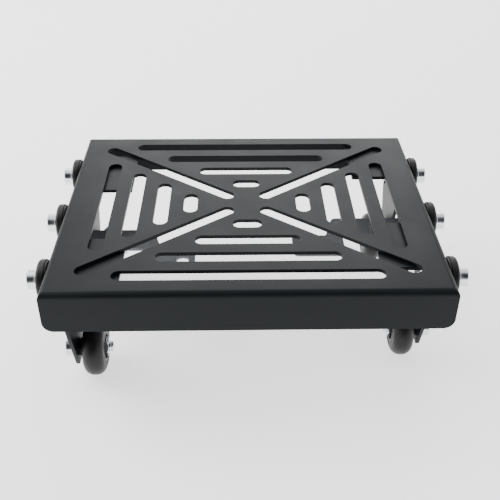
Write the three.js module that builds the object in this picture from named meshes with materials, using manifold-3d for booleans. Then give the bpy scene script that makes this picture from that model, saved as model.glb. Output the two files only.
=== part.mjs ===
// Furniture dolly: a folded steel tray with a slotted deck, four wheels under
// its corners and three side rollers along each side.
// Millimetres, +Z up, floor at Z = 0, origin at the middle of the footprint,
// the front of the dolly facing -Y.
import * as THREE from "three";
import { mergeVertices } from "three/addons/utils/BufferGeometryUtils.js";
import Module from "manifold-3d";

// ---- Driving dimensions -------------------------------------------------
const TRAY_WIDTH = 350;          // across the side flanges, X
const TRAY_DEPTH = 286;          // across the front and back flanges, Y
const TRAY_HEIGHT = 40;          // deck top to the lower edge of a flange
const DECK_TOP = 129;            // deck top above the floor
const SHEET = 3.5;               // thickness of every folded sheet part
const BEND_OUTER = 6;            // outside radius of a fold
const FLANGE_CORNER = 9.5;       // rounded lower corners of front and back flanges
const SIDE_CORNER = 5;           // rounded lower corners of the side flanges
const SEAM_GAP = 0.8;            // open seam between neighbouring flanges
const SEAM_TOP = 8;              // the seam stops this far below the deck top

const SLOT_WIDTH = 13.7;         // every slot in the deck has this width
const ROW_COUNT = 4;             // rows of cross slots in each half of the deck
const ROW_FIRST = 37.3;          // first row from the middle of the deck
const ROW_PITCH = 26.7;
const ROW_HALF_FIRST = 13.8;     // half length of the shortest row
const ROW_HALF_STEP = 34.5;
const COLUMN_COUNT = 4;          // columns of lengthwise slots in each half
const COLUMN_FIRST = 54.7;
const COLUMN_PITCH = 27.3;
const COLUMN_HALF_FIRST = 16.9;
const COLUMN_HALF_STEP = 21;
const DIAGONAL_INNER = [13.6, 10.3];   // tips of a diagonal slot, X and Y
const DIAGONAL_OUTER = [148.1, 113.9];

const BOLT = 10;                 // shank of every bolt
const HOLE_PLAY = 0.6;           // a clearance hole is this much wider
const HEAD_WIDTH = 17.5;
const HEAD_HEIGHT = 7.6;
const HEAD_FLANGE_WIDTH = 19.5;  // thin collar under the head
const HEAD_FLANGE = 1.8;
const SOCKET_WIDTH = 8;          // hexagon key socket, across flats
const SOCKET_DEPTH = 5;
const NUT_FLATS = 16;
const NUT_HEIGHT = 8.4;
const THREAD_PROUD = 4;          // a bolt ends this far past its nut
const WASHER_WIDTH = 21;
const WASHER = 2;

const ROLLER_WIDTH = 37;         // side roller diameter
const ROLLER_LENGTH = 9;
const ROLLER_EDGE = 3;           // rounded edge of the roller
const ROLLER_PITCH = 93;         // spacing of the side rollers along Y
const ROLLER_DROP = 22;          // roller axis below the deck top
const BEARING_WIDTH = 26;        // outside of a roller bearing
const ROLLER_BOSS = 0.6;         // the bearing stands this far out of the roller

const WHEEL_WIDTH = 54;          // wheel diameter
const WHEEL_LENGTH = 20;
const HUB_WIDTH = 29;            // outside of the hub inside the tyre
const HUB_BOSS_WIDTH = 17;
const HUB_BOSS = 4.5;            // the hub stands this far out of the tyre, outboard
const HUB_RECESS_WIDTH = 24;     // hollow in the hub's inboard face, for the nut
const HUB_RECESS = 8;
const AXLE_FAR = 92;             // axle from the middle, front left and back right
const AXLE_NEAR = 68;            // axle from the middle, front right and back left
const PLAY = 0.4;                // running clearance beside a turning part
const FIT = 0.3;                 // gap between round pieces that sit in each other

const SPACER_FAR = 9;            // gap from flange to bracket, front left and back right
const SPACER_NEAR = 4;           // gap from flange to bracket, front right and back left
const SPACER_WIDTH = 20;
const BRACKET_FOOT = 22;         // width of a bracket at its lower end
const BRACKET_TOP = 72;          // width of a bracket inside the tray
const BRACKET_BELOW = 13;        // bracket reaches this far below the axle
const BRACKET_SHOULDER = 44;     // slanted edges start this far below the deck
const BRACKET_LEG = 52;          // turned-in leg under the deck
const BRACKET_ROUND = 3;

const ARM_DROP = 46;             // top of an arm below the deck top
const ARM_LEFT_REACH = 51;       // inner end of the left arm from the middle, X
const ARM_RIGHT_REACH = 46;
const ARM_TIP_LENGTH = 52;       // the arm is stepped this far from its inner end
const ARM_WIDTH = 33;
const ARM_STEP = 32;             // the tip lies this far forward of the root
const ARM_LEFT_BACK = 23;        // back edge of the left arm's root
const ARM_RIGHT_BACK = 43;       // back edge of the right arm's root
const ARM_TAB_FRONT = -12;       // front end of the tab against the flange
const ARM_TAB_TOP = 8;           // the tab stops this far below the deck top
const ARM_ROUND = 6;
const ARM_HOLE = 13;
const ARM_HOLE_INSET = 12;       // hole centre from the tip and its front edge

const ROUND = 24;                // sides of a wheel or roller
const SMALL_ROUND = 14;          // sides of a bolt, washer, hub or hole
const HEXAGON = 6;
const SLOT_ARC = 6;              // steps round a slot end
const CORNER_ARC = 5;            // steps round a fold or a cut corner
const EDGE_ARC = 3;              // steps round the edge of a tyre

// ---- Worked-out places --------------------------------------------------
const FLANGE_OUT = TRAY_WIDTH / 2;
const FLANGE_IN = FLANGE_OUT - SHEET;
const TRAY_BOTTOM = DECK_TOP - TRAY_HEIGHT;
const ROLLER_Z = DECK_TOP - ROLLER_DROP;
const AXLE_Z = WHEEL_WIDTH / 2;
const BEARING_IN = FLANGE_OUT + PLAY;
const ROLLER_IN = BEARING_IN + ROLLER_BOSS;
const ROLLER_OUT = ROLLER_IN + ROLLER_LENGTH;
const BEARING_OUT = ROLLER_OUT + ROLLER_BOSS;

// ---- Solids -------------------------------------------------------------
const wasm = await Module();
wasm.setup();

function solid(geometry) {
  const bare = geometry.index ? geometry.toNonIndexed() : geometry.clone();
  bare.deleteAttribute("normal");
  bare.deleteAttribute("uv");
  const merged = mergeVertices(bare, 1e-4);
  const { Manifold, Mesh } = wasm;
  return new Manifold(new Mesh({
    numProp: 3,
    vertProperties: new Float32Array(merged.attributes.position.array),
    triVerts: new Uint32Array(merged.index.array),
  }));
}

function geometryOf(body) {
  const { numProp, vertProperties, triVerts } = body.getMesh();
  const positions = new Float32Array((vertProperties.length / numProp) * 3);
  for (let i = 0; i < positions.length / 3; i += 1) {
    for (let k = 0; k < 3; k += 1) positions[3 * i + k] = vertProperties[numProp * i + k];
  }
  const geometry = new THREE.BufferGeometry();
  geometry.setAttribute("position", new THREE.BufferAttribute(positions, 3));
  geometry.setIndex(Array.from(triVerts));
  geometry.computeVertexNormals();
  return geometry;
}

// An outline given as [a, b] points; a third number rounds that corner.
function outline(points) {
  const shape = new THREE.Shape();
  points.forEach(([x, y, radius = 0], i) => {
    const here = new THREE.Vector2(x, y);
    if (!radius) {
      if (i === 0) shape.moveTo(x, y);
      else shape.lineTo(x, y);
      return;
    }
    const [px, py] = points[(i + points.length - 1) % points.length];
    const [nx, ny] = points[(i + 1) % points.length];
    const back = new THREE.Vector2(px, py).sub(here).normalize();
    const ahead = new THREE.Vector2(nx, ny).sub(here).normalize();
    const half = Math.acos(THREE.MathUtils.clamp(back.dot(ahead), -1, 1)) / 2;
    const run = radius / Math.tan(half);
    const start = here.clone().addScaledVector(back, run);
    const centre = here.clone().addScaledVector(
      back.clone().add(ahead).normalize(), radius / Math.sin(half));
    const end = here.clone().addScaledVector(ahead, run);
    const from = Math.atan2(start.y - centre.y, start.x - centre.x);
    const to = Math.atan2(end.y - centre.y, end.x - centre.x);
    const turn = Math.atan2(Math.sin(to - from), Math.cos(to - from));
    for (let k = 0; k <= CORNER_ARC; k += 1) {
      const angle = from + (turn * k) / CORNER_ARC;
      const cornerX = centre.x + radius * Math.cos(angle);
      const cornerY = centre.y + radius * Math.sin(angle);
      if (i === 0 && k === 0) shape.moveTo(cornerX, cornerY);
      else shape.lineTo(cornerX, cornerY);
    }
  });
  shape.closePath();
  return shape;
}

const prism = (shape, depth) => new THREE.ExtrudeGeometry(shape, {
  depth, bevelEnabled: false, steps: 1, curveSegments: SLOT_ARC,
});

// A Y-Z outline swept from x0 to x1.
function alongX(shape, x0, x1) {
  const basis = new THREE.Matrix4().makeBasis(
    new THREE.Vector3(0, 1, 0), new THREE.Vector3(0, 0, 1), new THREE.Vector3(1, 0, 0));
  return prism(shape, x1 - x0).applyMatrix4(basis).translate(x0, 0, 0);
}

// An X-Z outline swept from y0 to y1.
function alongY(shape, y0, y1) {
  return prism(shape, y1 - y0).rotateX(Math.PI / 2).translate(0, y1, 0);
}

// An X-Y outline swept from z0 to z1.
const alongZ = (shape, z0, z1) => prism(shape, z1 - z0).translate(0, 0, z0);

// A closed profile of [distance along X, radius] points turned about an axis
// parallel to X that stands at y, z.
function turned(profile, y, z, sides = SMALL_ROUND) {
  const points = profile.map(([along, radius]) => new THREE.Vector2(radius, along));
  return new THREE.LatheGeometry(points, sides).rotateZ(-Math.PI / 2).translate(0, y, z);
}

function rod(width, x0, x1, y, z, sides = SMALL_ROUND) {
  return new THREE.CylinderGeometry(width / 2, width / 2, x1 - x0, sides)
    .rotateZ(-Math.PI / 2).translate((x0 + x1) / 2, y, z);
}

const box = (x0, x1, y0, y1, z0, z1) => new THREE.BoxGeometry(x1 - x0, y1 - y0, z1 - z0)
  .translate((x0 + x1) / 2, (y0 + y1) / 2, (z0 + z1) / 2);

// ---- Tray ---------------------------------------------------------------
// A block with rounded top edges, open below when `bottom` reaches past it.
function roundedBlock(halfX, halfY, bottom, top, radius) {
  const across = (half) => outline([
    [-half, bottom], [half, bottom], [half, top, radius], [-half, top, radius],
  ]);
  return solid(alongY(across(halfX), -halfY, halfY))
    .intersect(solid(alongX(across(halfY), -halfX, halfX)));
}

function slotBetween(from, to) {
  const radius = SLOT_WIDTH / 2;
  const length = Math.hypot(to[0] - from[0], to[1] - from[1]);
  const half = length / 2 - radius;
  const shape = new THREE.Shape();
  shape.absarc(half, 0, radius, -Math.PI / 2, Math.PI / 2, false);
  shape.absarc(-half, 0, radius, Math.PI / 2, 1.5 * Math.PI, false);
  shape.closePath();
  return alongZ(shape, DECK_TOP - SHEET - 1, DECK_TOP + 1)
    .rotateZ(Math.atan2(to[1] - from[1], to[0] - from[0]))
    .translate((from[0] + to[0]) / 2, (from[1] + to[1]) / 2, 0);
}

function deckSlots() {
  const slots = [];
  for (const side of [-1, 1]) {
    for (let i = 0; i < ROW_COUNT; i += 1) {
      const y = side * (ROW_FIRST + i * ROW_PITCH);
      const half = ROW_HALF_FIRST + i * ROW_HALF_STEP;
      slots.push(slotBetween([-half, y], [half, y]));
    }
    for (let i = 0; i < COLUMN_COUNT; i += 1) {
      const x = side * (COLUMN_FIRST + i * COLUMN_PITCH);
      const half = COLUMN_HALF_FIRST + i * COLUMN_HALF_STEP;
      slots.push(slotBetween([x, -half], [x, half]));
    }
    for (const end of [-1, 1]) {
      slots.push(slotBetween([side * DIAGONAL_INNER[0], end * DIAGONAL_INNER[1]],
        [side * DIAGONAL_OUTER[0], end * DIAGONAL_OUTER[1]]));
    }
  }
  return slots;
}

// The piece outside a rounded lower corner, in an outline whose corner lies at
// `edge` on its first axis.
function cornerWaste(edge, side, radius) {
  const inner = edge - radius;
  const shape = new THREE.Shape();
  shape.moveTo(side * (edge + 1), TRAY_BOTTOM - 1);
  shape.lineTo(side * inner, TRAY_BOTTOM - 1);
  for (let k = 0; k <= CORNER_ARC; k += 1) {
    const angle = (Math.PI / 2) * (k / CORNER_ARC);
    shape.lineTo(side * (inner + radius * Math.sin(angle)),
      TRAY_BOTTOM + radius - radius * Math.cos(angle));
  }
  shape.lineTo(side * (edge + 1), TRAY_BOTTOM + radius);
  shape.closePath();
  return shape;
}

function trayGeometry() {
  const halfX = TRAY_WIDTH / 2;
  const halfY = TRAY_DEPTH / 2;
  let tray = roundedBlock(halfX, halfY, TRAY_BOTTOM, DECK_TOP, BEND_OUTER)
    .subtract(roundedBlock(halfX - SHEET, halfY - SHEET, TRAY_BOTTOM - 5,
      DECK_TOP - SHEET, BEND_OUTER - SHEET));
  for (const slot of deckSlots()) tray = tray.subtract(solid(slot));
  for (const end of [-1, 1]) {
    const near = end * (halfY - SHEET);
    const far = end * (halfY - SHEET - SEAM_GAP);
    for (const side of [-1, 1]) {
      const from = side * (halfX - SHEET - 1);
      const to = side * (halfX + 1);
      tray = tray.subtract(solid(box(Math.min(from, to), Math.max(from, to),
        Math.min(near, far), Math.max(near, far), TRAY_BOTTOM - 1, DECK_TOP - SEAM_TOP)));
      const flangeFrom = end > 0 ? near : -halfY - 1;
      const flangeTo = end > 0 ? halfY + 1 : near;
      tray = tray.subtract(solid(alongY(cornerWaste(halfX, side, FLANGE_CORNER),
        flangeFrom, flangeTo)));
      const sideFrom = side > 0 ? halfX - SHEET - 1 : -halfX - 1;
      const sideTo = side > 0 ? halfX + 1 : -halfX + SHEET + 1;
      const reach = halfY - SHEET - SEAM_GAP;
      const waste = solid(alongX(cornerWaste(reach, end, SIDE_CORNER), sideFrom, sideTo));
      tray = tray.subtract(waste);
    }
  }
  for (const side of [-1, 1]) {
    for (const row of [-1, 0, 1]) {
      const from = side > 0 ? FLANGE_IN - 1 : -FLANGE_OUT - 1;
      tray = tray.subtract(solid(rod(BOLT + HOLE_PLAY, from, from + SHEET + 2,
        row * ROLLER_PITCH, ROLLER_Z)));
    }
  }
  return geometryOf(tray);
}

// ---- Folded parts under the deck, made for the +X side ------------------
function bracketGeometry(outer, axleY, boltY) {
  const under = DECK_TOP - SHEET;
  const inner = outer - SHEET;
  const fold = outline([
    [outer, 0], [outer, under, BEND_OUTER],
    [outer - BRACKET_LEG, under], [outer - BRACKET_LEG, under - SHEET],
    [inner, under - SHEET, BEND_OUTER - SHEET], [inner, 0],
  ]);
  const foot = BRACKET_FOOT / 2;
  const wide = BRACKET_TOP / 2;
  const low = AXLE_Z - BRACKET_BELOW;
  const shoulder = DECK_TOP - BRACKET_SHOULDER;
  const face = outline([
    [axleY - foot, low, BRACKET_ROUND], [axleY + foot, low, BRACKET_ROUND],
    [axleY + wide, shoulder], [axleY + wide, under + 1],
    [axleY - wide, under + 1], [axleY - wide, shoulder],
  ]);
  const hole = BOLT + HOLE_PLAY;
  return geometryOf(solid(alongY(fold, axleY - wide, axleY + wide))
    .intersect(solid(alongX(face, inner - BRACKET_LEG, outer + 1)))
    .subtract(solid(rod(hole, inner - 1, outer + 1, axleY, AXLE_Z)))
    .subtract(solid(rod(hole, inner - 1, outer + 1, boltY, ROLLER_Z))));
}

function armGeometry(reach, back) {
  const top = DECK_TOP - ARM_DROP;
  const low = top - SHEET;
  const fold = outline([
    [reach, top], [reach, low], [FLANGE_IN, low, BEND_OUTER],
    [FLANGE_IN, DECK_TOP - ARM_TAB_TOP], [FLANGE_IN - SHEET, DECK_TOP - ARM_TAB_TOP],
    [FLANGE_IN - SHEET, top, BEND_OUTER - SHEET],
  ]);
  const rootFront = back - ARM_WIDTH;
  const tipBack = back - ARM_STEP;
  const tipFront = tipBack - ARM_WIDTH;
  const tabFront = Math.min(ARM_TAB_FRONT, rootFront);
  const elbow = reach + ARM_TIP_LENGTH;
  const neck = elbow - ARM_WIDTH / 3;
  const leaf = outline([
    [reach, tipFront, ARM_ROUND], [elbow, tipFront, ARM_ROUND],
    [elbow, rootFront, 2], [FLANGE_IN - BEND_OUTER - 2, rootFront],
    [FLANGE_IN - BEND_OUTER - 2, tabFront], [FLANGE_IN + 1, tabFront],
    [FLANGE_IN + 1, back], [neck + 3, back, ARM_ROUND],
    [neck - 6, tipBack, 2], [reach, tipBack, ARM_ROUND],
  ]);
  const holeAt = new THREE.Shape();
  holeAt.absarc(reach + ARM_HOLE_INSET, tipFront + ARM_HOLE_INSET, ARM_HOLE / 2,
    0, 2 * Math.PI, false);
  return geometryOf(solid(alongY(fold, tipFront - 1, back + 1))
    .intersect(solid(alongZ(leaf, low - 1, DECK_TOP)))
    .subtract(solid(alongZ(holeAt, low - 1, top + 1)))
    .subtract(solid(rod(BOLT + HOLE_PLAY, FLANGE_IN - SHEET - 1, FLANGE_IN + 1,
      0, ROLLER_Z))));
}

// ---- Turned and hexagonal parts, made for the +X side -------------------
// A ring of rectangular section between two radii.
function ring(inner, outer, x0, x1, y, z) {
  return turned([[x0, inner / 2], [x0, outer / 2], [x1, outer / 2], [x1, inner / 2],
    [x0, inner / 2]], y, z);
}

// A tyre or roller whose outer edges are rounded by `edge`.
function tyreGeometry(inner, outer, x0, x1, edge, y, z) {
  const profile = [[x0, inner / 2]];
  const arc = (centreX, start) => {
    for (let k = 0; k <= EDGE_ARC; k += 1) {
      const angle = start + (Math.PI / 2) * (k / EDGE_ARC);
      profile.push([centreX - edge * Math.cos(angle),
        outer / 2 - edge + edge * Math.sin(angle)]);
    }
  };
  arc(x0 + edge, 0);
  arc(x1 - edge, Math.PI / 2);
  profile.push([x1, inner / 2], [x0, inner / 2]);
  return turned(profile, y, z, ROUND);
}

// A roller bearing: a thick ring with a narrower boss on both faces.
function bearingGeometry(y, z) {
  const bore = (BOLT + HOLE_PLAY) / 2;
  const boss = HUB_BOSS_WIDTH / 2;
  return turned([[BEARING_IN, bore], [BEARING_IN, boss], [ROLLER_IN, boss],
    [ROLLER_IN, BEARING_WIDTH / 2], [ROLLER_OUT, BEARING_WIDTH / 2], [ROLLER_OUT, boss],
    [BEARING_OUT, boss], [BEARING_OUT, bore], [BEARING_IN, bore]], y, z);
}

// A wheel hub from `x0` to `x1`: hollow on its inboard face for the nut, with a
// long boss on its outboard face.
function hubGeometry(x0, x1, y, z) {
  const bore = (BOLT + HOLE_PLAY) / 2;
  const face = x1 - HUB_BOSS;
  const floor = x0 + HUB_RECESS;
  return turned([[floor, bore], [floor, HUB_RECESS_WIDTH / 2], [x0, HUB_RECESS_WIDTH / 2],
    [x0, HUB_WIDTH / 2], [face, HUB_WIDTH / 2], [face, HUB_BOSS_WIDTH / 2],
    [x1, HUB_BOSS_WIDTH / 2], [x1, bore], [floor, bore]], y, z);
}

// A bolt whose head starts at `under` and points to +X; its thread ends at `end`.
function boltGeometry(under, end, y, z) {
  const collar = under + HEAD_FLANGE;
  const top = collar + HEAD_HEIGHT;
  const chamfer = 1;
  const body = solid(turned([[end, 0], [end, BOLT / 2 - chamfer], [end + chamfer, BOLT / 2],
    [under, BOLT / 2], [under, HEAD_FLANGE_WIDTH / 2], [collar, HEAD_FLANGE_WIDTH / 2],
    [collar, HEAD_WIDTH / 2], [top - chamfer, HEAD_WIDTH / 2],
    [top, HEAD_WIDTH / 2 - chamfer], [top, 0]], y, z));
  const key = rod(SOCKET_WIDTH / Math.cos(Math.PI / HEXAGON), top - SOCKET_DEPTH, top + 1,
    y, z, HEXAGON);
  return geometryOf(body.subtract(solid(key)));
}

function nutGeometry(x0, x1, y, z) {
  const across = NUT_FLATS / Math.cos(Math.PI / HEXAGON);
  return geometryOf(solid(rod(across, x0, x1, y, z, HEXAGON))
    .subtract(solid(rod(BOLT + HOLE_PLAY, x0 - 1, x1 + 1, y, z))));
}

// ---- Materials ----------------------------------------------------------
const finish = (color, roughness, metalness) => new THREE.MeshStandardMaterial({
  color, roughness, metalness,
});
const powderCoat = finish(0x2b2f31, 0.55, 0.2);
const rubber = finish(0x17181a, 0.8, 0);
const hubPlastic = finish(0x1f2022, 0.6, 0);
const zinc = finish(0xc9cdd0, 0.3, 0.9);
const bearingSteel = finish(0x8f9396, 0.35, 0.9);

// ---- Assembly -----------------------------------------------------------
const dolly = new THREE.Group();

function add(name, geometry, material) {
  const mesh = new THREE.Mesh(geometry, material);
  mesh.name = name;
  dolly.add(mesh);
}

// The -X side is the +X side turned half a turn about Z, so a piece for the
// left side is built at the opposite Y.
function addOnSide(name, side, geometry, material) {
  if (side < 0) geometry.rotateZ(Math.PI);
  add(name, geometry, material);
}

const SIDES = [["left", -1], ["right", 1]];
const ENDS = [["front", -1], ["back", 1]];

add("deck_tray", trayGeometry(), powderCoat);

for (const [sideName, side] of SIDES) {
  if (side < 0) {
    add("arm_left", mirrored(armGeometry(ARM_LEFT_REACH, ARM_LEFT_BACK)), powderCoat);
  } else {
    add("arm_right", armGeometry(ARM_RIGHT_REACH, ARM_RIGHT_BACK), powderCoat);
  }

  for (const [endName, end] of ENDS) {
    const far = side * end > 0;
    const turn = side * end;               // Y direction after the half turn
    const axleY = turn * (far ? AXLE_FAR : AXLE_NEAR);
    const boltY = turn * ROLLER_PITCH;
    const outer = FLANGE_IN - (far ? SPACER_FAR : SPACER_NEAR);
    const tag = `${endName}_${sideName}`;
    addOnSide(`bracket_${tag}`, side, bracketGeometry(outer, axleY, boltY), powderCoat);
    addOnSide(`spacer_${tag}`, side, ring(BOLT + HOLE_PLAY, SPACER_WIDTH,
      outer, FLANGE_IN, boltY, ROLLER_Z), zinc);
    addWheel(tag, side, outer, axleY);
    addRoller(tag, side, outer - SHEET, boltY);
  }
  addRoller(`middle_${sideName}`, side, FLANGE_IN - SHEET, 0);
}

function mirrored(geometry) {
  const flipped = geometry.clone().scale(-1, 1, 1);
  const index = Array.from(flipped.index.array);
  for (let i = 0; i < index.length; i += 3) {
    [index[i + 1], index[i + 2]] = [index[i + 2], index[i + 1]];
  }
  flipped.setIndex(index);
  return flipped;
}

// A wheel on its bolt, beside a bracket whose outer face is at `bracketOut`.
function addWheel(tag, side, bracketOut, y) {
  const hubOut = bracketOut - SHEET - PLAY;
  const tyreOut = hubOut - HUB_BOSS;
  const tyreIn = tyreOut - WHEEL_LENGTH;
  const washerIn = tyreIn + HUB_RECESS - PLAY - WASHER;
  const nutIn = washerIn - NUT_HEIGHT;
  addOnSide(`wheel_tyre_${tag}`, side, tyreGeometry(HUB_WIDTH + 2 * FIT, WHEEL_WIDTH,
    tyreIn, tyreOut, WHEEL_LENGTH / 2 - 1, y, AXLE_Z), rubber);
  addOnSide(`wheel_hub_${tag}`, side, hubGeometry(tyreIn, hubOut, y, AXLE_Z), hubPlastic);
  addOnSide(`axle_bolt_${tag}`, side, boltGeometry(bracketOut, nutIn - THREAD_PROUD,
    y, AXLE_Z), zinc);
  addOnSide(`axle_washer_${tag}`, side, ring(BOLT + HOLE_PLAY, WASHER_WIDTH,
    washerIn, washerIn + WASHER, y, AXLE_Z), zinc);
  addOnSide(`axle_nut_${tag}`, side, nutGeometry(nutIn, washerIn, y, AXLE_Z), zinc);
}

// A side roller on its bolt; the bolt's nut stands against `seat`.
function addRoller(tag, side, seat, y) {
  addOnSide(`roller_tyre_${tag}`, side, tyreGeometry(BEARING_WIDTH + 2 * FIT, ROLLER_WIDTH,
    ROLLER_IN, ROLLER_OUT, ROLLER_EDGE, y, ROLLER_Z), rubber);
  addOnSide(`roller_bearing_${tag}`, side, bearingGeometry(y, ROLLER_Z), bearingSteel);
  addOnSide(`roller_bolt_${tag}`, side, boltGeometry(BEARING_OUT + PLAY,
    seat - NUT_HEIGHT - THREAD_PROUD, y, ROLLER_Z), zinc);
  addOnSide(`roller_nut_${tag}`, side, nutGeometry(seat - NUT_HEIGHT, seat, y, ROLLER_Z), zinc);
}

export default dolly;
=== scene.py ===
"""A low furniture dolly: a slotted steel tray on bracketed wheels, with side rollers.

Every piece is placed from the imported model's own boxes, in metres, +Z up, and
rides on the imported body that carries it.
"""
import logging
import math
from dataclasses import dataclass
from enum import Enum
from typing import Callable, Sequence

import bmesh
import bpy
from mathutils import Matrix, Vector


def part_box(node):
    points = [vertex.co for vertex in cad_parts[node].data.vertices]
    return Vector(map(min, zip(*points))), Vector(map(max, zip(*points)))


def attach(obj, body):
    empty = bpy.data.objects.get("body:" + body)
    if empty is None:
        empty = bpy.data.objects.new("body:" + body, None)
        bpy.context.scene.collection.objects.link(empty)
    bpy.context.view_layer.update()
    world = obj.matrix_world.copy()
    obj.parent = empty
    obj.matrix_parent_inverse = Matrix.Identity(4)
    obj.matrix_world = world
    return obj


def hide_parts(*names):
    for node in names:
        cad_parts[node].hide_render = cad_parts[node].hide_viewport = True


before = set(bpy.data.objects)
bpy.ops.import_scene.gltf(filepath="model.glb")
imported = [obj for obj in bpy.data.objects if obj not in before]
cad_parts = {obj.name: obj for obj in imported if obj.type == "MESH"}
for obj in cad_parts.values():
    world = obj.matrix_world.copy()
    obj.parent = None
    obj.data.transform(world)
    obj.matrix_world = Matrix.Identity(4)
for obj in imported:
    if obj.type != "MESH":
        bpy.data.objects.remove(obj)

log = logging.getLogger("dolly")
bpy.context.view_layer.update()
MM = 0.001
TRAY_BODY = "tray"
BOLT_HOLE = 10.6 * MM
HEX_SIDES = 6

FINE_SEGMENTS = 96
ROUND_SEGMENTS = 72
BOLT_SEGMENTS = 64
HOLE_SEGMENTS = 40

MERGE_WITHIN = 2e-6
FLAT_WITHIN = 0.4
BEVEL_FROM = 40
UNBROKEN = 0.0
TURNED_CREASE = 28.0
METAL_CREASE = 25.0
BOLT_CREASE = 30.0
THREAD_CREASE = 40.0

Point2 = tuple[float, float]
Profile = list[Point2]


class Axis(Enum):
    """The row axis that an outline is swept along."""

    X = 0
    Y = 1
    Z = 2


class Combine(Enum):
    """How one closed shape acts on another."""

    CUT = "DIFFERENCE"
    KEEP_SHARED = "INTERSECT"


class Side(Enum):
    """The side of the dolly, as the sign of X."""

    LEFT = -1
    RIGHT = 1


# ---- Finishes -----------------------------------------------------------
PATCH_RANGE = (0.3, 0.7)
COAT_ROUGHNESS = 0.25


@dataclass(frozen=True)
class Finish:
    """A surface finish with grain, uneven sheen and faint mottling.

    Args:
        name: the material's name.
        slot: the record's material slot it belongs to; not used.
        color: linear base colour.
        roughness: mean roughness.
        metallic: 1 for bare metal.
        grain_scale: grains per metre.
        grain_depth: height of the grain in metres.
        sheen_swing: how far roughness wanders either way.
        mottle: how far the colour wanders, as a share.
        patch_scale: patches per metre in sheen and colour.
        coat: clear coat weight.
        specular: specular level of the shader.
    """

    name: str
    slot: str
    color: tuple[float, float, float]
    roughness: float
    metallic: float
    grain_scale: float
    grain_depth: float
    sheen_swing: float
    mottle: float
    patch_scale: float
    coat: float = 0.0
    specular: float = 0.5

    def material(self) -> bpy.types.Material:
        """The finish as a material, made once and then shared.

        Returns:
            The material.
        """
        made = bpy.data.materials.get(self.name)
        if made is not None:
            return made
        made = bpy.data.materials.new(self.name)
        made.use_nodes = True
        nodes, links = made.node_tree.nodes, made.node_tree.links
        shader = nodes["Principled BSDF"]
        shader.inputs["Metallic"].default_value = self.metallic
        shader.inputs["Coat Weight"].default_value = self.coat
        shader.inputs["Coat Roughness"].default_value = COAT_ROUGHNESS
        shader.inputs["Specular IOR Level"].default_value = self.specular
        place = nodes.new("ShaderNodeTexCoord")

        patches = nodes.new("ShaderNodeTexNoise")
        patches.inputs["Scale"].default_value = self.patch_scale
        patches.inputs["Detail"].default_value = 4.0
        links.new(place.outputs["Object"], patches.inputs["Vector"])

        sheen = nodes.new("ShaderNodeMapRange")
        sheen.inputs["From Min"].default_value = PATCH_RANGE[0]
        sheen.inputs["From Max"].default_value = PATCH_RANGE[1]
        sheen.inputs["To Min"].default_value = self.roughness - self.sheen_swing
        sheen.inputs["To Max"].default_value = self.roughness + self.sheen_swing
        links.new(patches.outputs["Fac"], sheen.inputs["Value"])
        links.new(sheen.outputs["Result"], shader.inputs["Roughness"])

        ramp = nodes.new("ShaderNodeValToRGB")
        shares = (1 - self.mottle, 1 + self.mottle)
        for stop, position, share in zip(ramp.color_ramp.elements, PATCH_RANGE, shares):
            stop.position = position
            stop.color = (*(channel * share for channel in self.color), 1.0)
        links.new(patches.outputs["Fac"], ramp.inputs["Fac"])
        links.new(ramp.outputs["Color"], shader.inputs["Base Color"])

        grain = nodes.new("ShaderNodeTexNoise")
        grain.inputs["Scale"].default_value = self.grain_scale
        grain.inputs["Detail"].default_value = 2.0
        links.new(place.outputs["Object"], grain.inputs["Vector"])
        bump = nodes.new("ShaderNodeBump")
        bump.inputs["Strength"].default_value = 0.5
        bump.inputs["Distance"].default_value = self.grain_depth
        links.new(grain.outputs["Fac"], bump.inputs["Height"])
        links.new(bump.outputs["Normal"], shader.inputs["Normal"])
        return made


POWDER_COAT = Finish("PowderCoat", "powder", (0.0062, 0.0082, 0.0095), 0.42, 0.0,
                     1400.0, 0.00006, 0.04, 0.04, 28.0, 0.0, 0.12)
# Painted light: the arms wear the same dark powder coat, given a much lighter colour that stands in
# for the light they catch from above and below under the deck.
ARM_PAINTED_LIGHT_COAT = Finish("ArmCoatPaintedLight", "powder", (0.185, 0.196, 0.21), 0.42, 0.0,
                  1400.0, 0.00006, 0.04, 0.04, 28.0, 0.0, 0.16)
RUBBER = Finish("TyreRubber", "rubber", (0.0045, 0.0045, 0.005), 0.45, 0.0,
                900.0, 0.00008, 0.06, 0.12, 60.0, 0.0, 0.3)
HUB_PLASTIC = Finish("HubPlastic", "hub", (0.016, 0.016, 0.017), 0.42, 0.0,
                     2200.0, 0.00003, 0.05, 0.08, 90.0)
ZINC = Finish("ZincPlate", "zinc", (0.70, 0.72, 0.74), 0.20, 1.0,
              700.0, 0.00002, 0.07, 0.05, 140.0)
BEARING_STEEL = Finish("BearingSteel", "bearing", (0.42, 0.43, 0.44), 0.28, 1.0,
                       1800.0, 0.00001, 0.05, 0.04, 200.0)


# ---- Shapes -------------------------------------------------------------
def linked(name: str, mesh: bpy.types.Mesh) -> bpy.types.Object:
    """An object at the origin that shows a mesh.

    Args:
        name: the piece's name.
        mesh: its mesh.

    Returns:
        The object, in the scene.
    """
    piece = bpy.data.objects.new(name, mesh)
    bpy.context.scene.collection.objects.link(piece)
    return piece


def from_bmesh(name: str, shape: bmesh.types.BMesh) -> bpy.types.Object:
    """A bmesh turned into a linked object with its faces pointing outwards."""
    bmesh.ops.recalc_face_normals(shape, faces=shape.faces)
    mesh = bpy.data.meshes.new(name)
    shape.to_mesh(mesh)
    shape.free()
    return linked(name, mesh)


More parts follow.
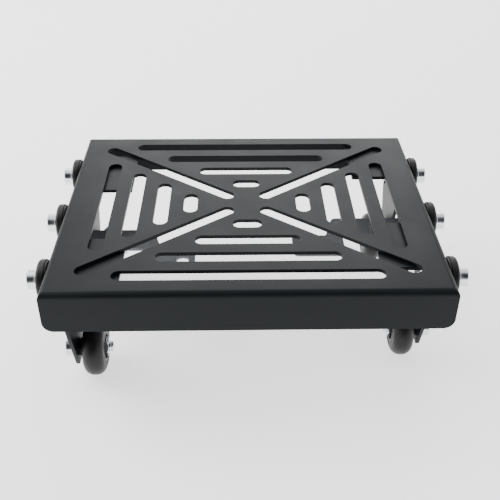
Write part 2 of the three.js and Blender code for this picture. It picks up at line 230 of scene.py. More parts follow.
def rounded(points: Sequence[tuple[float, ...]], steps: int = 10) -> Profile:
    """An outline whose corners are rounded where a point has a third number.

    Args:
        points: corners as (u, v) or (u, v, radius).
        steps: straight pieces in each rounded corner.

    Returns:
        The outline's points.
    """
    path: Profile = []
    for i, point in enumerate(points):
        here = Vector(point[:2])
        radius = point[2] if len(point) > 2 else 0.0
        if not radius:
            path.append((here.x, here.y))
            continue
        back = (Vector(points[i - 1][:2]) - here).normalized()
        ahead = (Vector(points[(i + 1) % len(points)][:2]) - here).normalized()
        half = back.angle(ahead) / 2
        start = here + back * (radius / math.tan(half))
        centre = here + (back + ahead).normalized() * (radius / math.sin(half))
        first = start - centre
        end = here + ahead * (radius / math.tan(half)) - centre
        turn = math.atan2(first.x * end.y - first.y * end.x, first.dot(end))
        for k in range(steps + 1):
            angle = math.atan2(first.y, first.x) + turn * k / steps
            path.append((centre.x + radius * math.cos(angle),
                         centre.y + radius * math.sin(angle)))
    return path


def prism(name: str, outline: Profile, axis: Axis, start: float, end: float) -> bpy.types.Object:
    """An outline swept straight along a row axis.

    Args:
        name: the object's name.
        outline: points on the two other row axes, in X, Y, Z order.
        axis: the sweep's axis.
        start: where it starts on that axis.
        end: where it ends.

    Returns:
        The closed solid.
    """
    def place(u: float, v: float, t: float) -> Vector:
        """A point of the outline at t along the axis."""
        spot = [u, v]
        spot.insert(axis.value, t)
        return Vector(spot)

    shape = bmesh.new()
    low = [shape.verts.new(place(u, v, start)) for u, v in outline]
    high = [shape.verts.new(place(u, v, end)) for u, v in outline]
    shape.faces.new(low)
    shape.faces.new(reversed(high))
    for i in range(len(low)):
        j = (i + 1) % len(low)
        shape.faces.new((low[i], high[i], high[j], low[j]))
    return from_bmesh(name, shape)


def turned(name: str, profile: Profile, y: float, z: float, segments: int = ROUND_SEGMENTS
           ) -> bpy.types.Object:
    """A closed profile turned about an axis parallel to X.

    Args:
        name: the object's name.
        profile: (x, radius) points of a closed loop; radius 0 closes an end.
        y: the axis's Y.
        z: the axis's Z.
        segments: faces round the axis.

    Returns:
        The closed solid.
    """
    shape = bmesh.new()
    rings: list[list[bmesh.types.BMVert]] = []
    for x, radius in profile:
        if radius < 1e-9:
            rings.append([shape.verts.new((x, y, z))] * segments)
            continue
        rings.append([shape.verts.new((x, y + radius * math.cos(2 * math.pi * k / segments),
                                       z + radius * math.sin(2 * math.pi * k / segments)))
                      for k in range(segments)])
    for near, far in zip(rings, rings[1:] + rings[:1]):
        for k in range(segments):
            j = (k + 1) % segments
            corners = list(dict.fromkeys((near[k], near[j], far[j], far[k])))
            if len(corners) > 2:
                shape.faces.new(corners)
    return from_bmesh(name, shape)


def hexagon(middle: Vector, reach: float) -> Profile:
    """The (y, z) corners of a hexagon about a point.

    Args:
        middle: its middle.
        reach: from the middle to a corner.

    Returns:
        The corners.
    """
    step = math.pi / 3
    return [(middle.y + reach * math.cos(step * k), middle.z + reach * math.sin(step * k))
            for k in range(HEX_SIDES)]


def laid_from(end: float, sign: int, profile: Profile) -> Profile:
    """A profile whose first number is measured from one end, as points along X."""
    return [(end + sign * run, radius) for run, radius in profile]


def combine(target: bpy.types.Object, tool: bpy.types.Object, how: Combine) -> None:
    """Changes a solid by another, which is then removed.

    Args:
        target: the solid that changes.
        tool: the solid that acts on it.
        how: what it does.
    """
    step = target.modifiers.new("combine", "BOOLEAN")
    step.operation = how.value
    step.solver = "MANIFOLD"
    step.object = tool
    graph = bpy.context.evaluated_depsgraph_get()
    mesh = bpy.data.meshes.new_from_object(target.evaluated_get(graph))
    target.modifiers.clear()
    target.data = mesh
    bpy.data.objects.remove(tool)


def eased(piece: bpy.types.Object, width: float, sharp: float = 18.0) -> None:
    """Breaks a piece's sharp edges and shades its curves smooth.

    Args:
        piece: the piece.
        width: how much of each edge is taken off, in metres; 0 for none.
        sharp: edges that turn more than this many degrees stay crisp.
    """
    shape = bmesh.new()
    shape.from_mesh(piece.data)
    bmesh.ops.remove_doubles(shape, verts=shape.verts, dist=MERGE_WITHIN)
    if width:
        bmesh.ops.dissolve_limit(shape, angle_limit=math.radians(FLAT_WITHIN),
                                 verts=shape.verts, edges=shape.edges)
    bmesh.ops.recalc_face_normals(shape, faces=shape.faces)
    mesh = bpy.data.meshes.new(piece.name)
    shape.to_mesh(mesh)
    shape.free()
    piece.data = mesh
    if width:
        step = piece.modifiers.new("edges", "BEVEL")
        step.width = width
        step.segments = 2
        step.limit_method = "ANGLE"
        step.angle_limit = math.radians(BEVEL_FROM)
        graph = bpy.context.evaluated_depsgraph_get()
        mesh = bpy.data.meshes.new_from_object(piece.evaluated_get(graph))
        piece.modifiers.clear()
        piece.data = mesh
    piece.data.shade_smooth()
    piece.data.set_sharp_from_angle(angle=math.radians(sharp))


def dress(piece: bpy.types.Object, finish: Finish, body: str, *nodes: str) -> None:
    """Gives a piece its finish, its body and the nodes it stands for.

    Args:
        piece: the finished piece.
        finish: its finish.
        body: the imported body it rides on.
        nodes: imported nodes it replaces.
    """
    piece.data.materials.clear()
    piece.data.materials.append(finish.material())
    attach(piece, body)
    if nodes:
        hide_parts(*nodes)
    log.info("%s rides on %s", piece.name, body)


def size_of(node: str) -> tuple[Vector, Vector]:
    """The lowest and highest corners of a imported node."""
    low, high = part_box(node)
    return Vector(low), Vector(high)


# ---- Geometry node trees ------------------------------------------------
class Tree:
    """A geometry node tree under construction."""

    def __init__(self, name: str, inputs: Sequence[tuple[str, str]]) -> None:
        """Starts a tree.

        Args:
            name: the tree's name.
            inputs: name and socket type of each input.
        """
        self.group = bpy.data.node_groups.new(name, "GeometryNodeTree")
        self.group.interface.new_socket("Geometry", in_out="INPUT",
                                        socket_type="NodeSocketGeometry")
        for title, kind in inputs:
            self.group.interface.new_socket(title, in_out="INPUT", socket_type=kind)
        self.group.interface.new_socket("Geometry", in_out="OUTPUT",
                                        socket_type="NodeSocketGeometry")
        self.source = self.group.nodes.new("NodeGroupInput")
        self.sink = self.group.nodes.new("NodeGroupOutput")

    def given(self, title: str) -> bpy.types.NodeSocket:
        """The socket of a named input."""
        return self.source.outputs[title]

    def add(self, kind: str, settings: dict[str, object] | None = None,
            **sockets: object) -> bpy.types.Node:
        """Adds a node and fills its inputs.

        Args:
            kind: the node's type.
            settings: properties of the node.
            sockets: input name, with underscores for spaces, to a socket or value.

        Returns:
            The node.
        """
        node = self.group.nodes.new(kind)
        for key, value in (settings or {}).items():
            setattr(node, key, value)
        for key, value in sockets.items():
            wanted = key.rstrip("0123456789").replace("_", " ")
            matches = [s for s in node.inputs if s.name == wanted and s.enabled]
            number = key[len(key.rstrip("0123456789")):]
            socket = matches[int(number) if number else 0]
            if isinstance(value, bpy.types.NodeSocket):
                self.group.links.new(value, socket)
            else:
                socket.default_value = value
        return node

    def math(self, operation: str, *values: object) -> bpy.types.NodeSocket:
        """The result of a number operation."""
        numbered = {f"Value{i}": value for i, value in enumerate(values)}
        return self.add("ShaderNodeMath", {"operation": operation}, **numbered).outputs[0]

    def finish(self, geometry: bpy.types.NodeSocket) -> bpy.types.GeometryNodeTree:
        """Ends the tree with Realize Instances and Set Material.

        Args:
            geometry: the geometry so far.

        Returns:
            The finished tree.
        """
        real = self.add("GeometryNodeRealizeInstances", Geometry=geometry)
        painted = self.add("GeometryNodeSetMaterial", Geometry=real.outputs[0],
                           Material=self.given("Finish"))
        self.group.links.new(painted.outputs[0], self.sink.inputs[0])
        return self.group


def baked(name: str, base: bpy.types.Mesh, tree: bpy.types.GeometryNodeTree,
          values: dict[str, object]) -> bpy.types.Object:
    """Runs a tree on a base mesh and keeps the plain mesh it makes.

    Args:
        name: the object's name.
        base: the mesh the tree starts from.
        tree: the tree.
        values: input name to value.

    Returns:
        The object with the plain mesh.
    """
    piece = linked(name, base)
    step = piece.modifiers.new("build", "NODES")
    step.node_group = tree
    for item in tree.interface.items_tree:
        if item.item_type == "SOCKET" and item.in_out == "INPUT" and item.name in values:
            step[item.identifier] = values[item.name]
    graph = bpy.context.evaluated_depsgraph_get()
    mesh = bpy.data.meshes.new_from_object(piece.evaluated_get(graph))
    piece.modifiers.clear()
    piece.data = mesh
    return piece


def slot_tree() -> bpy.types.GeometryNodeTree:
    """A tree that stands a round-ended cutter on each point of its base mesh.

    Each point carries how far the slot's straight part runs either way and its
    heading about +Z.

    Returns:
        The tree.
    """
    tree = Tree("RoundEndedSlots", (
        ("Slot Width", "NodeSocketFloat"), ("Depth", "NodeSocketFloat"),
        ("Base", "NodeSocketVector"),
        ("Arc Points", "NodeSocketInt"), ("Finish", "NodeSocketMaterial")))
    where = tree.add("GeometryNodeInputPosition").outputs[0]
    kept = tree.add("GeometryNodeStoreNamedAttribute",
                    {"data_type": "FLOAT_VECTOR", "domain": "POINT"},
                    Geometry=tree.given("Geometry"), Name="middle", Value=where)
    ring = tree.add("GeometryNodeCurvePrimitiveCircle", {"mode": "RADIUS"},
                    Resolution=tree.given("Arc Points"),
                    Radius=tree.math("MULTIPLY", tree.given("Slot Width"), 0.5))
    placed = tree.add("GeometryNodeInstanceOnPoints", Points=kept.outputs[0],
                      Instance=ring.outputs[0])
    real = tree.add("GeometryNodeRealizeInstances", Geometry=placed.outputs[0])

    def stored(title: str, kind: str) -> bpy.types.NodeSocket:
        """A named attribute's value."""
        node = tree.add("GeometryNodeInputNamedAttribute", {"data_type": kind}, Name=title)
        return next(s for s in node.outputs if s.enabled and s.name == "Attribute")

    heading = stored("heading", "FLOAT")
    ahead = tree.add("ShaderNodeCombineXYZ", X=tree.math("COSINE", heading),
                     Y=tree.math("SINE", heading)).outputs[0]
    offset = tree.add("ShaderNodeVectorMath", {"operation": "SUBTRACT"},
                      Vector0=where, Vector1=stored("middle", "FLOAT_VECTOR")).outputs[0]
    along = tree.add("ShaderNodeVectorMath", {"operation": "DOT_PRODUCT"},
                     Vector0=offset, Vector1=ahead).outputs["Value"]
    # A point exactly abreast of the middle stays on the straight side.
    snapped = tree.math("SIGN", tree.math("SNAP", along, 1e-5))
    reach = tree.math("MULTIPLY", snapped, stored("half_run", "FLOAT"))
    shift = tree.add("ShaderNodeVectorMath", {"operation": "SCALE"},
                     Vector0=ahead, Scale=reach).outputs[0]
    moved = tree.add("GeometryNodeSetPosition", Geometry=real.outputs[0], Offset=shift)
    face = tree.add("GeometryNodeFillCurve", {"mode": "NGONS"}, Curve=moved.outputs[0])
    up = tree.add("GeometryNodeExtrudeMesh", {"mode": "FACES"}, Mesh=face.outputs[0],
                  Offset=tree.add("ShaderNodeCombineXYZ", Z=tree.given("Depth")).outputs[0],
                  Offset_Scale=1.0, Individual=False)
    down = tree.add("GeometryNodeFlipFaces", Mesh=face.outputs[0])
    both = tree.add("GeometryNodeJoinGeometry")
    tree.group.links.new(down.outputs[0], both.inputs[0])
    tree.group.links.new(up.outputs[0], both.inputs[0])
    closed = tree.add("GeometryNodeMergeByDistance", Geometry=both.outputs[0], Distance=1e-6)
    # Filling a curve lays it flat at Z = 0, so the cutters are lifted afterwards.
    raised = tree.add("GeometryNodeTransform", Geometry=closed.outputs[0],
                      Translation=tree.given("Base"))
    return tree.finish(raised.outputs[0])


def thread_tree() -> bpy.types.GeometryNodeTree:
    """A tree that winds a screw thread's ridge about the X axis.

    Returns:
        The tree.
    """
    tree = Tree("ScrewThread", (
        ("Start", "NodeSocketVector"), ("Root Radius", "NodeSocketFloat"),
        ("Ridge", "NodeSocketFloat"), ("Pitch", "NodeSocketFloat"),
        ("Turns", "NodeSocketFloat"), ("Finish", "NodeSocketMaterial")))
    path = tree.add("GeometryNodeCurveSpiral", Resolution=28, Rotations=tree.given("Turns"),
                    Start_Radius=tree.given("Root Radius"), End_Radius=tree.given("Root Radius"),
                    Height=tree.math("MULTIPLY", tree.given("Turns"), tree.given("Pitch")))
    ridge = tree.add("GeometryNodeCurvePrimitiveCircle", {"mode": "RADIUS"}, Resolution=4,
                     Radius=tree.given("Ridge"))
    wound = tree.add("GeometryNodeCurveToMesh", Curve=path.outputs[0],
                     Profile_Curve=ridge.outputs[0], Fill_Caps=True)
    laid = tree.add("GeometryNodeTransform", Geometry=wound.outputs[0],
                    Translation=tree.given("Start"), Rotation=(0.0, math.pi / 2, 0.0))
    return tree.finish(laid.outputs[0])


# ---- Tray ---------------------------------------------------------------
@dataclass
class SlottedTray:
    """The folded tray and its deck of slots, in metres."""

    node: str = "deck_tray"
    sheet: float = 3.5 * MM
    bend: float = 6 * MM
    flange_corner: float = 9.5 * MM
    side_corner: float = 5 * MM
    seam_gap: float = 0.8 * MM
    seam_top: float = 8 * MM
    slot_width: float = 13.7 * MM
    rows: int = 4
    row_first: float = 37.3 * MM
    row_pitch: float = 26.7 * MM
    row_half: float = 13.8 * MM
    row_step: float = 34.5 * MM
    column_first: float = 54.7 * MM
    column_pitch: float = 27.3 * MM
    column_half: float = 16.9 * MM
    column_step: float = 21 * MM
    diagonal_from: Point2 = (13.6 * MM, 10.3 * MM)
    diagonal_to: Point2 = (148.1 * MM, 113.9 * MM)
    hole_width: float = BOLT_HOLE
    edge: float = 0.35 * MM

    def block(self, name: str, inset: float, bottom: float, radius: float) -> bpy.types.Object:
        """A block with rounded top edges, `inset` inside the tray's outside.

        Args:
            name: the object's name.
            inset: how far inside the outer faces and the deck top it lies.
            bottom: its lowest Z.
            radius: radius of its top edges.

        Returns:
            The solid.
        """
        high = size_of(self.node)[1]
        top = high.z - inset

        def across(half: float) -> Profile:
            """A section with rounded upper corners."""
            return rounded(((-half, bottom), (half, bottom), (half, top, radius),
                            (-half, top, radius)), 14)

        half_x, half_y = high.x - inset, high.y - inset
        solid = prism(name, across(half_x), Axis.Y, -half_y, half_y)
        other = prism(name + "_y", across(half_y), Axis.X, -half_x, half_x)
        combine(solid, other, Combine.KEEP_SHARED)
        return solid

    def slot_points(self) -> bpy.types.Mesh:
        """A mesh with one point in the middle of each slot.

        Returns:
            The mesh, with each slot's heading and straight run stored on it.
        """
        radius = self.slot_width / 2
        middles: list[Vector] = []
        headings: list[float] = []
        runs: list[float] = []

        def note(x: float, y: float, heading: float, half: float) -> None:
            """Adds one slot by its middle, heading and half length."""
            middles.append(Vector((x, y, 0.0)))
            headings.append(heading)
            runs.append(half - radius)

        for sign in (-1, 1):
            for i in range(self.rows):
                note(0.0, sign * (self.row_first + i * self.row_pitch), 0.0,
                     self.row_half + i * self.row_step)
                note(sign * (self.column_first + i * self.column_pitch), 0.0, math.pi / 2,
                     self.column_half + i * self.column_step)
            (x0, y0), (x1, y1) = self.diagonal_from, self.diagonal_to
            for end in (-1, 1):
                note(sign * (x0 + x1) / 2, end * (y0 + y1) / 2,
                     math.atan2(end * (y1 - y0), sign * (x1 - x0)),
                     math.hypot(x1 - x0, y1 - y0) / 2)
        mesh = bpy.data.meshes.new("slot_middles")
        mesh.from_pydata(middles, [], [])
        for title, values in (("heading", headings), ("half_run", runs)):
            mesh.attributes.new(title, "FLOAT", "POINT").data.foreach_set("value", values)
        return mesh

    def corner_waste(self, edge: float, sign: int, radius: float, bottom: float) -> Profile:
        """The outline outside a rounded lower corner.

        Args:
            edge: where the corner lies on the outline's first axis.
            sign: the side it lies on.
            radius: its radius.
            bottom: the flange's lower edge.

        Returns:
            The outline.
        """
        inner, margin = edge - radius, 1 * MM
        path: Profile = [(sign * (edge + margin), bottom - margin), (sign * inner, bottom - margin)]
        for k in range(11):
            angle = math.pi / 2 * k / 10
            path.append((sign * (inner + radius * math.sin(angle)),
                         bottom + radius - radius * math.cos(angle)))
        path.append((sign * (edge + margin), bottom + radius))
        return path

    def build(self) -> bpy.types.Object:
        """Builds the tray from its blocks, slots, seams and holes.

        Returns:
            The tray.
        """
        low, high = size_of(self.node)
        tray = self.block("tray_shell", 0.0, low.z, self.bend)
        combine(tray, self.block("hollow", self.sheet, low.z - 5 * MM, self.bend - self.sheet),
                Combine.CUT)
        slots = baked("slots", self.slot_points(), slot_tree(),
                      {"Slot Width": self.slot_width, "Depth": self.sheet + 2 * MM,
                       "Base": (0.0, 0.0, high.z - self.sheet - 1 * MM),
                       "Arc Points": 64, "Finish": POWDER_COAT.material()})
        combine(tray, slots, Combine.CUT)
        for sign in (-1, 1):
            for end in (-1, 1):
                self.cut_corner(tray, sign, end, low, high)
            for row in ("front", "middle", "back"):
                roller_low, roller_high = size_of(
                    f"roller_tyre_{row}_{'left' if sign < 0 else 'right'}")
                middle = (roller_low + roller_high) / 2
                faces = sorted((sign * (high.x - self.sheet - 1 * MM), sign * (high.x + 1 * MM)))
                hole = turned("hole", [(faces[0], 0.0), (faces[0], self.hole_width / 2),
                                       (faces[1], self.hole_width / 2), (faces[1], 0.0)],
                              middle.y, middle.z, HOLE_SEGMENTS)
                combine(tray, hole, Combine.CUT)
        eased(tray, self.edge)
        dress(tray, POWDER_COAT, TRAY_BODY, self.node)
        return tray

    def cut_corner(self, tray: bpy.types.Object, sign: int, end: int,
                   low: Vector, high: Vector) -> None:
        """Opens one corner's seam and rounds the flanges beside it.

        Args:
            tray: the tray so far.
            sign: the side, as the sign of X.
            end: the end, as the sign of Y.
            low: the tray's lowest corner.
            high: its highest corner.
        """
        near = end * (high.y - self.sheet)
        far = end * (high.y - self.sheet - self.seam_gap)
        across = sorted((sign * (high.x - self.sheet - 1 * MM), sign * (high.x + 1 * MM)))
        seam = [(across[0], min(near, far)), (across[1], min(near, far)),
                (across[1], max(near, far)), (across[0], max(near, far))]
        combine(tray, prism("seam", seam, Axis.Z, low.z - 1 * MM, high.z - self.seam_top),
                Combine.CUT)
        ends = sorted((near, end * (high.y + 1 * MM)))
        combine(tray, prism("corner", self.corner_waste(high.x, sign, self.flange_corner, low.z),
                            Axis.Y, ends[0], ends[1]), Combine.CUT)
        combine(tray, prism("side_corner",
                            self.corner_waste(abs(far), end, self.side_corner, low.z),
                            Axis.X, across[0], across[1]), Combine.CUT)


@dataclass
class FoldedSheet:
    """A folded steel part under the deck, kept as packed but with eased edges."""

    node: str
    finish: Finish = POWDER_COAT
    edge: float = 0.4 * MM

    def build(self) -> bpy.types.Object:
        """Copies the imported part, eases its edges and dresses it.

        Returns:
            The part.
        """
        part = linked(f"{self.node}_sheet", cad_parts[self.node].data.copy())
        eased(part, self.edge)
        dress(part, self.finish, TRAY_BODY, self.node)
        return part


# ---- Fasteners ----------------------------------------------------------
@dataclass
class SocketBolt:
    """A socket-head bolt with a collar and a threaded end."""

    node: str
    side: Side
    head_width: float = 17.5 * MM
    head_height: float = 7.6 * MM
    collar_width: float = 19.5 * MM
    collar: float = 1.8 * MM
    chamfer: float = 1.1 * MM
    socket: float = 8 * MM
    socket_depth: float = 5 * MM
    shank: float = 10 * MM
    pitch: float = 1.5 * MM
    ridge: float = 0.55 * MM
    threaded: float = 16 * MM
    lead_in: float = 1.2 * MM
    run_out: float = 1.0 * MM

    def build(self, tree: bpy.types.GeometryNodeTree) -> None:
        """Builds the bolt and its thread.

        Args:
            tree: the screw thread tree.
        """
        low, high = size_of(self.node)
        middle = (low + high) / 2
        sign = self.side.value
        tip, top = (low.x, high.x) if sign > 0 else (high.x, low.x)
        total = high.x - low.x
        under = total - self.head_height - self.collar
        collar_top = under + self.collar
        half, root = self.head_width / 2, self.shank / 2
        minor = root - 0.6 * MM
        profile = [
            (0.0, 0.0), (0.0, minor - 0.6 * MM), (0.7 * MM, minor), (self.threaded, minor),
            (self.threaded + 0.6 * MM, root), (under - 0.3 * MM, root),
            (under, root + 0.3 * MM), (under, self.collar_width / 2 - 0.3 * MM),
            (under + 0.4 * MM, self.collar_width / 2),
            (collar_top - 0.5 * MM, self.collar_width / 2),
            (collar_top, self.collar_width / 2 - 0.5 * MM), (collar_top, half),
            (total - self.chamfer, half), (total - self.chamfer * 0.35, half - self.chamfer * 0.4),
            (total, half - self.chamfer), (total, 0.0)]
        bolt = turned(f"{self.node}_turned", laid_from(tip, sign, profile),
                      middle.y, middle.z, BOLT_SEGMENTS)
        key = hexagon(middle, self.socket / 2 / math.cos(math.pi / HEX_SIDES))
        ends = sorted((top - sign * self.socket_depth, top + sign * MM))
        combine(bolt, prism("key", key, Axis.X, ends[0], ends[1]), Combine.CUT)
        eased(bolt, UNBROKEN, BOLT_CREASE)
        dress(bolt, ZINC, TRAY_BODY, self.node)

        length = self.threaded - self.lead_in - self.run_out
        start = tip + self.lead_in if sign > 0 else tip - self.lead_in - length
        thread = baked(f"{self.node}_thread", bpy.data.meshes.new("thread_start"), tree, {
            "Start": (start, middle.y, middle.z), "Root Radius": minor, "Ridge": self.ridge,
            "Pitch": self.pitch, "Turns": length / self.pitch, "Finish": ZINC.material()})
        eased(thread, UNBROKEN, THREAD_CREASE)
        dress(thread, ZINC, TRAY_BODY)


@dataclass
class HexNut:
    """A hexagon nut whose corners are chamfered on both faces."""

    node: str
    flats: float = 16 * MM
    bore: float = BOLT_HOLE

    def build(self) -> None:
        """Builds the nut."""
        low, high = size_of(self.node)
        middle = (low + high) / 2
        reach = self.flats / 2 / math.cos(math.pi / HEX_SIDES)
        nut = prism(f"{self.node}_hex", hexagon(middle, reach), Axis.X, low.x, high.x)
        drop = (reach - self.flats / 2) * 0.9
        cap = self.flats / 2 - 0.1 * MM
        inner = self.bore / 2
        envelope = turned("envelope", [
            (low.x, inner + 0.5 * MM), (low.x, cap), (low.x + drop, reach + 0.2 * MM),
            (high.x - drop, reach + 0.2 * MM), (high.x, cap), (high.x, inner + 0.5 * MM),
            (high.x - 0.6 * MM, inner), (low.x + 0.6 * MM, inner)],
            middle.y, middle.z, FINE_SEGMENTS)
        combine(nut, envelope, Combine.KEEP_SHARED)
        eased(nut, UNBROKEN, METAL_CREASE)
        dress(nut, ZINC, TRAY_BODY, self.node)


@dataclass
class PlainRing:
    """A washer or sleeve with eased rims."""

    node: str
    bore: float = BOLT_HOLE
    rim: float = 0.3 * MM

    def build(self) -> None:
        """Builds the ring."""
        low, high = size_of(self.node)
        middle = (low + high) / 2
        outer, inner = (high.z - low.z) / 2, self.bore / 2
        ring = turned(f"{self.node}_ring", [
            (low.x, inner), (low.x, outer - self.rim), (low.x + self.rim, outer),
            (high.x - self.rim, outer), (high.x, outer - self.rim), (high.x, inner)],
            middle.y, middle.z, BOLT_SEGMENTS)
        eased(ring, UNBROKEN, METAL_CREASE)
        dress(ring, ZINC, TRAY_BODY, self.node)


# ---- Turning parts ------------------------------------------------------
def arc(centre: Point2, radius: float, start: float, end: float, steps: int = 10) -> Profile:
    """Points on an arc in a turned profile.

    Args:
        centre: (x, radius) of the arc's centre.
        radius: the arc's radius.
        start: first angle in degrees, from +X towards outwards.
        end: last angle in degrees.
        steps: straight pieces.

    Returns:
        The points.
    """
    return [(centre[0] + radius * math.cos(math.radians(start + (end - start) * k / steps)),
             centre[1] + radius * math.sin(math.radians(start + (end - start) * k / steps)))
            for k in range(steps + 1)]


@dataclass
class BracketWheel:
    """A round-treaded wheel on a hub that is hollow on its inboard face."""

    corner: str
    side: Side
    hub_width: float = 29 * MM
    boss_width: float = 17 * MM
    boss: float = 4.5 * MM
    recess_width: float = 24 * MM
    recess: float = 8 * MM
    bore: float = BOLT_HOLE

    def build(self) -> None:
        """Builds the tyre and the hub."""
        body = f"wheel_{self.corner}"
        low, high = size_of(f"wheel_tyre_{self.corner}")
        middle = (low + high) / 2
        outer = (high.z - low.z) / 2
        inner = self.hub_width / 2 + 0.1 * MM
        edge = (high.x - low.x) / 2 - 1 * MM
        groove = 0.18 * MM
        wall = outer - edge
        tyre = turned(f"tyre_{self.corner}", [
            (low.x + 0.5 * MM, inner), (low.x, inner + 0.5 * MM),
            (low.x, inner + 1.2 * MM), (low.x + 0.4 * MM, inner + 1.5 * MM),
            (low.x + 0.4 * MM, inner + 2.0 * MM), (low.x, inner + 2.3 * MM),
            *arc((low.x + edge, wall), edge, 180, 92, 14),
            (middle.x - 0.35 * MM, outer), (middle.x - 0.2 * MM, outer - groove),
            (middle.x + 0.2 * MM, outer - groove), (middle.x + 0.35 * MM, outer),
            *arc((high.x - edge, wall), edge, 88, 0, 14),
            (high.x, inner + 2.3 * MM), (high.x - 0.4 * MM, inner + 2.0 * MM),
            (high.x - 0.4 * MM, inner + 1.5 * MM), (high.x, inner + 1.2 * MM),
            (high.x, inner + 0.5 * MM), (high.x - 0.5 * MM, inner)],
            middle.y, middle.z, FINE_SEGMENTS)
        eased(tyre, UNBROKEN, TURNED_CREASE)
        dress(tyre, RUBBER, body, f"wheel_tyre_{self.corner}")

        hub_low, hub_high = size_of(f"wheel_hub_{self.corner}")
        sign = self.side.value
        back = hub_low.x if sign > 0 else hub_high.x
        length = hub_high.x - hub_low.x
        hub_radius, boss, hole = self.hub_width / 2, self.boss_width / 2, self.bore / 2
        hollow, face, ease = self.recess_width / 2, length - self.boss, 0.4 * MM
        profile = [
            (self.recess, hole + ease), (self.recess, hollow - 1.2 * MM),
            (self.recess - 0.6 * MM, hollow - 0.4 * MM), (ease, hollow),
            (0.0, hollow + ease), (0.0, hub_radius - ease), (ease, hub_radius),
            (face - ease, hub_radius), (face, hub_radius - ease), (face, hub_radius - 2.2 * MM),
            (face - 1.2 * MM, hub_radius - 2.8 * MM), (face - 1.2 * MM, boss + 1.6 * MM),
            (face, boss + 0.9 * MM), (length - ease, boss), (length, boss - ease),
            (length, hole + ease), (length - ease, hole), (self.recess + ease, hole)]
        hub = turned(f"hub_{self.corner}", laid_from(back, sign, profile), middle.y, middle.z)
        eased(hub, UNBROKEN, TURNED_CREASE)
        dress(hub, HUB_PLASTIC, body, f"wheel_hub_{self.corner}")


@dataclass
class SideRoller:
    """A flat-treaded roller on a sealed bearing."""

    place: str
    side: Side
    shoulder: float = 3 * MM
    bearing_width: float = 26 * MM
    boss_width: float = 17 * MM
    boss: float = 0.6 * MM
    bore: float = BOLT_HOLE

    def build(self) -> None:
        """Builds the roller and its bearing."""
        body = f"roller_{self.place}"
        low, high = size_of(f"roller_tyre_{self.place}")
        middle = (low + high) / 2
        sign = self.side.value
        width, outer = high.x - low.x, (high.z - low.z) / 2
        inner = self.bearing_width / 2 + 0.1 * MM
        lip, round_in = 0.5 * MM, 1.2 * MM
        back = low.x if sign > 0 else high.x
        profile = [
            (0.0, inner), (0.0, outer - 0.9 * MM - round_in),
            *arc((round_in, outer - 0.9 * MM - round_in), round_in, 180, 90, 6),
            (1.9 * MM, outer - 0.9 * MM), (2.1 * MM, outer - 0.3 * MM),
            (2.4 * MM, outer),
            *arc((width - self.shoulder, outer - self.shoulder), self.shoulder, 90, 0, 10),
            (width, inner + 2.4 * MM), (width - 0.3 * MM, inner + 2.0 * MM),
            (width - 0.3 * MM, inner + 1.2 * MM), (width, inner + 0.8 * MM),
            (width, inner + lip), (width - lip, inner)]
        tyre = turned(f"roller_{self.place}_tread", laid_from(back, sign, profile),
                      middle.y, middle.z, FINE_SEGMENTS)
        eased(tyre, UNBROKEN, TURNED_CREASE)
        dress(tyre, RUBBER, body, f"roller_tyre_{self.place}")

        bear_low, bear_high = size_of(f"roller_bearing_{self.place}")
        length = bear_high.x - bear_low.x
        race, boss, hole = self.bearing_width / 2, self.boss_width / 2, self.bore / 2
        shield, ease = 0.35 * MM, 0.25 * MM
        half = [
            (0.0, hole + ease), (0.0, boss - ease), (ease, boss), (self.boss + shield, boss),
            (self.boss + shield, race - 1.8 * MM), (self.boss, race - 1.6 * MM),
            (self.boss, race - ease), (self.boss + ease, race)]
        mirrored = [(length - d, r) for d, r in reversed(half)]
        bearing = turned(f"roller_{self.place}_bearing",
                         laid_from(bear_low.x, 1, half + mirrored), middle.y, middle.z)
        eased(bearing, UNBROKEN, TURNED_CREASE)
        dress(bearing, BEARING_STEEL, body, f"roller_bearing_{self.place}")


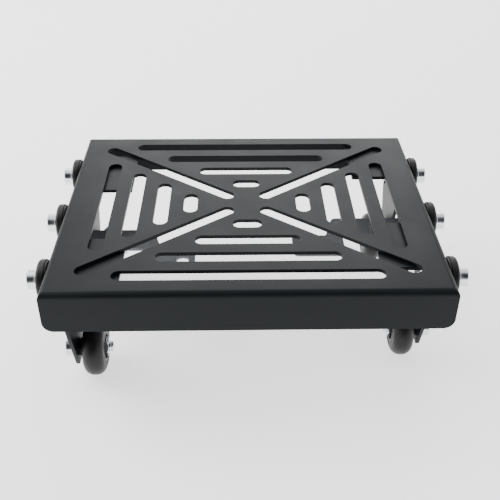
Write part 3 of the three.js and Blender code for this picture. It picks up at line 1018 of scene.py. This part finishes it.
# ---- Stage --------------------------------------------------------------
@dataclass
class Studio:
    """A pale floor, soft lights and the camera."""

    lens: float = 54.8
    sensor: float = 36.0
    place: tuple[float, float, float] = (-0.011, -0.6354, 0.5149)
    yaw: float = 1.293
    pitch: float = 34.83
    roll: float = 0.323
    clip_start: float = 0.01
    floor_half: float = 6.0
    floor_shade: float = 0.93
    floor_glow: float = 1.3
    room_glow: float = 1.35
    dark_height: float = 40.0
    dark_outer: float = 56.0
    dark_inner: float = 22.0

    def floor(self) -> None:
        """Lays the floor."""
        half = self.floor_half
        mesh = bpy.data.meshes.new("floor")
        mesh.from_pydata([(-half, -half, 0), (half, -half, 0), (half, half, 0), (-half, half, 0)],
                         [], [(0, 1, 2, 3)])
        floor = linked("floor", mesh)
        pale = bpy.data.materials.new("PaleFloor")
        pale.use_nodes = True
        shader = pale.node_tree.nodes["Principled BSDF"]
        shader.inputs["Base Color"].default_value = (*(self.floor_shade,) * 3, 1.0)
        shader.inputs["Roughness"].default_value = 0.9
        shader.inputs["Specular IOR Level"].default_value = 0.1
        shader.inputs["Emission Color"].default_value = (1.0, 1.0, 1.0, 1.0)
        shader.inputs["Emission Strength"].default_value = self.floor_glow
        mesh.materials.append(pale)

    def light(self, name: str, place: tuple[float, float, float], size: float,
              power: float) -> None:
        """Hangs a square soft light aimed at the middle of the dolly.

        Args:
            name: the light's name.
            place: where it hangs.
            size: its side in metres.
            power: its power in watts.
        """
        data = bpy.data.lights.new(name, "AREA")
        data.size = size
        data.energy = power
        lamp = bpy.data.objects.new(name, data)
        bpy.context.scene.collection.objects.link(lamp)
        lamp.location = place
        aim = Vector((0.0, 0.0, 0.08)) - Vector(place)
        lamp.rotation_euler = aim.to_track_quat("-Z", "Y").to_euler()

    def camera(self) -> None:
        """Sets the camera."""
        yaw, pitch, roll = (math.radians(v) for v in (self.yaw, self.pitch, self.roll))
        ahead = Vector((math.sin(yaw) * math.cos(pitch), math.cos(yaw) * math.cos(pitch),
                        -math.sin(pitch)))
        right = Vector((math.cos(yaw), -math.sin(yaw), 0.0))
        up = right.cross(ahead)
        turned_right = right * math.cos(roll) + up * math.sin(roll)
        turned_up = up * math.cos(roll) - right * math.sin(roll)
        data = bpy.data.cameras.new("camera")
        data.lens = self.lens
        data.sensor_width = self.sensor
        data.clip_start = self.clip_start
        camera = bpy.data.objects.new("camera", data)
        bpy.context.scene.collection.objects.link(camera)
        camera.matrix_world = Matrix.Translation(self.place) @ Matrix((
            turned_right, turned_up, -ahead)).transposed().to_4x4()
        bpy.context.scene.camera = camera

    def dark_end(self, world: bpy.types.World, back: bpy.types.ShaderNode) -> None:
        """Leaves the room unlit in front of the dolly, so metal and folds show a dark band.

        Args:
            world: the room.
            back: its background shader.
        """
        nodes, links = world.node_tree.nodes, world.node_tree.links
        place = nodes.new("ShaderNodeTexCoord")
        facing = nodes.new("ShaderNodeVectorMath")
        facing.operation = "DOT_PRODUCT"
        tilt = math.radians(self.dark_height)
        facing.inputs[1].default_value = (0.0, -math.cos(tilt), math.sin(tilt))
        links.new(place.outputs["Generated"], facing.inputs[0])
        ramp = nodes.new("ShaderNodeValToRGB")
        ramp.color_ramp.interpolation = "EASE"
        ramp.color_ramp.elements[0].position = math.cos(math.radians(self.dark_outer))
        ramp.color_ramp.elements[0].color = (1.0, 1.0, 1.0, 1.0)
        ramp.color_ramp.elements[1].position = math.cos(math.radians(self.dark_inner))
        ramp.color_ramp.elements[1].color = (0.03, 0.03, 0.035, 1.0)
        links.new(facing.outputs["Value"], ramp.inputs["Fac"])
        links.new(ramp.outputs["Color"], back.inputs["Color"])

    def build(self) -> None:
        """Builds the whole stage."""
        self.floor()
        world = bpy.data.worlds.new("studio")
        world.use_nodes = True
        back = world.node_tree.nodes["Background"]
        back.inputs["Strength"].default_value = self.room_glow
        self.dark_end(world, back)
        bpy.context.scene.world = world
        self.light("key", (-1.3, 0.5, 1.3), 1.2, 30.0)
        self.light("back", (0.1, 1.9, 1.3), 1.6, 25.0)
        self.camera()


def each(makers: Sequence[Callable[[], object]]) -> None:
    """Runs a list of builders in order."""
    for make in makers:
        make()


def main() -> None:
    logging.basicConfig(level=logging.INFO, format="%(name)s: %(message)s")
    SlottedTray().build()
    thread = thread_tree()
    for side in Side:
        hand = side.name.lower()
        # The arms take the lighter copy of the powder coat, with painted light in its colour.
        FoldedSheet(f"arm_{hand}", ARM_PAINTED_LIGHT_COAT).build()
        for end in ("front", "back"):
            corner = f"{end}_{hand}"
            FoldedSheet(f"bracket_{corner}").build()
            SocketBolt(f"axle_bolt_{corner}", side).build(thread)
            each((PlainRing(f"spacer_{corner}").build, PlainRing(f"axle_washer_{corner}").build,
                  HexNut(f"axle_nut_{corner}").build, BracketWheel(corner, side).build))
        for row in ("front", "middle", "back"):
            place = f"{row}_{hand}"
            SocketBolt(f"roller_bolt_{place}", side).build(thread)
            each((HexNut(f"roller_nut_{place}").build, SideRoller(place, side).build))
    Studio().build()


if __name__ == "__main__":
    main()
